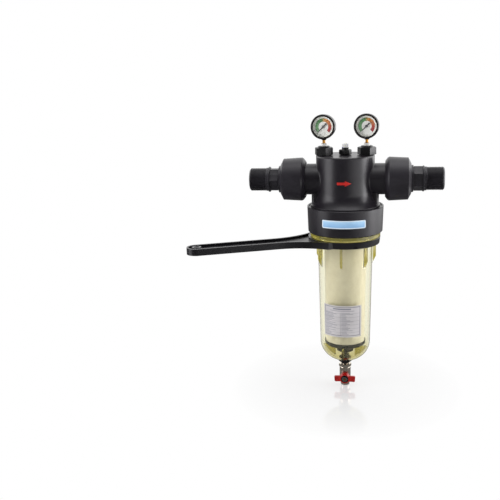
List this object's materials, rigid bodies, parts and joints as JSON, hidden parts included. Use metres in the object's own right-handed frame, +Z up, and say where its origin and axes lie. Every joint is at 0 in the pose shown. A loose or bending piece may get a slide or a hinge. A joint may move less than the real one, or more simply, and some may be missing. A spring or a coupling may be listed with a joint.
{
  "type": "water filter housing",
  "caption": "Inline water filter housing with union pipe ends, clear domed bowl, felt sleeve, pressure dials, air vent, drain valve and a ring spanner for the bowl.",
  "frame": {"origin": "crossing of the pipe axis and the bowl axis, inside the head", "axes": "+X along the pipe towards the outlet, -Y towards the dials and the name plate, +Z up; the bowl hangs towards -Z"},
  "size_m": [0.6478, 0.2719, 0.7457],
  "materials": {
    "black_plastic": "fine moulded satin",
    "nut_plastic": "fine moulded satin",
    "tail_plastic": "fine moulded satin",
    "plug_plastic": "moulded satin",
    "rubber": "matte",
    "red_badge": "satin",
    "blue_badge": "gloss print, bare",
    "white_label": "gloss print, bare",
    "pale_plastic": "translucent satin",
    "white_plastic": "moulded",
    "felt": "pressed felt",
    "steel": "satin",
    "clear_bowl": "clear, yellow tint",
    "nickel": "nickel plate",
    "ptfe": "waxy white",
    "brass": "turned",
    "red_paint": "gloss paint",
    "spanner_plastic": "satin moulded",
    "case_plastic": "satin moulded",
    "window": "clear",
    "dial_white": "printed scale",
    "pointer_black": "matte"
  },
  "bodies": {
    "head": {"head_casting": "black_plastic", "flow_arrow": "red_badge", "name_plate": "blue_badge", "union_tail_inlet": "tail_plastic", "union_tail_outlet": "tail_plastic", "union_seal_inlet": "rubber", "union_seal_outlet": "rubber", "vent_plug": "plug_plastic", "vent_seal": "rubber", "sleeve_support": "white_plastic", "filter_sleeve": "felt", "sleeve_clamp": "steel", "vortex_vanes": "plug_plastic", "sleeve_end_cap": "plug_plastic", "gauge_plug_inlet": "plug_plastic", "gauge_plug_seal_inlet": "rubber", "gauge_tape_inlet": "ptfe", "gauge_stem_inlet": "brass", "gauge_case_inlet": "case_plastic", "gauge_bezel_inlet": "case_plastic", "gauge_window_inlet": "window", "gauge_dial_inlet": "dial_white", "gauge_plug_outlet": "plug_plastic", "gauge_plug_seal_outlet": "rubber", "gauge_tape_outlet": "ptfe", "gauge_stem_outlet": "brass", "gauge_case_outlet": "case_plastic", "gauge_bezel_outlet": "case_plastic", "gauge_window_outlet": "window", "gauge_dial_outlet": "dial_white"},
    "nut_inlet": {"union_nut_inlet": "nut_plastic"},
    "nut_outlet": {"union_nut_outlet": "nut_plastic"},
    "vent_cap": {"vent_screw": "pale_plastic"},
    "pointer_inlet": {"gauge_pointer_inlet": "pointer_black"},
    "pointer_outlet": {"gauge_pointer_outlet": "pointer_black"},
    "bowl_ring": {"bowl_o_ring": "rubber"},
    "bowl": {"bowl": "clear_bowl", "data_label": "white_label", "drain_bush": "plug_plastic", "drain_seal": "rubber", "valve_body": "nickel", "valve_seat_lower": "ptfe", "valve_seat_upper": "ptfe"},
    "drain_lever": {"drain_handle": "red_paint", "valve_stem": "brass", "valve_ball": "nickel", "handle_nut": "steel"},
    "spanner": {"spanner": "spanner_plastic"}
  },
  "joints": [
    {"name": "union_nut_inlet_turn", "type": "hinge", "parent": "head", "child": "nut_inlet", "pos_m": [-0.135, 0, 0], "axis": [-1, 0, 0], "continuous": true},
    {"name": "union_nut_outlet_turn", "type": "hinge", "parent": "head", "child": "nut_outlet", "pos_m": [0.135, 0, 0], "axis": [1, 0, 0], "continuous": true},
    {"name": "vent_screw_turn", "type": "hinge", "parent": "head", "child": "vent_cap", "pos_m": [0, 0, 0.08], "axis": [0, 0, 1], "range_deg": [0, 360]},
    {"name": "inlet_pointer_sweep", "type": "hinge", "parent": "head", "child": "pointer_inlet", "pos_m": [-0.055, 0, 0.1362], "axis": [0.1564, 0.9877, 0], "range_deg": [0, 270], "stiffness_Nm_per_rad": 0.0004},
    {"name": "outlet_pointer_sweep", "type": "hinge", "parent": "head", "child": "pointer_outlet", "pos_m": [0.055, 0, 0.1362], "axis": [0.1564, 0.9877, 0], "range_deg": [0, 270], "stiffness_Nm_per_rad": 0.0004},
    {"name": "bowl_drop", "type": "slide", "parent": "head", "child": "bowl_ring", "axis": [0, 0, -1], "range_m": [0, 0.024]},
    {"name": "bowl_unscrew", "type": "hinge", "parent": "bowl_ring", "child": "bowl", "pos_m": [0, 0, -0.15], "axis": [0, 0, -1], "range_deg": [0, 720]},
    {"name": "drain_handle_turn", "type": "hinge", "parent": "bowl", "child": "drain_lever", "pos_m": [0, -0.02, -0.5527], "axis": [0, -1, 0], "range_deg": [0, 90]},
    {"name": "spanner_slide", "type": "slide", "parent": "bowl", "child": "spanner", "axis": [0, 0, -1], "range_m": [0, 0.45]}
  ],
  "couplings": [
    {"joint": "bowl_drop", "follows": "bowl_unscrew", "m_per_rad": 0.0019099}
  ]
}
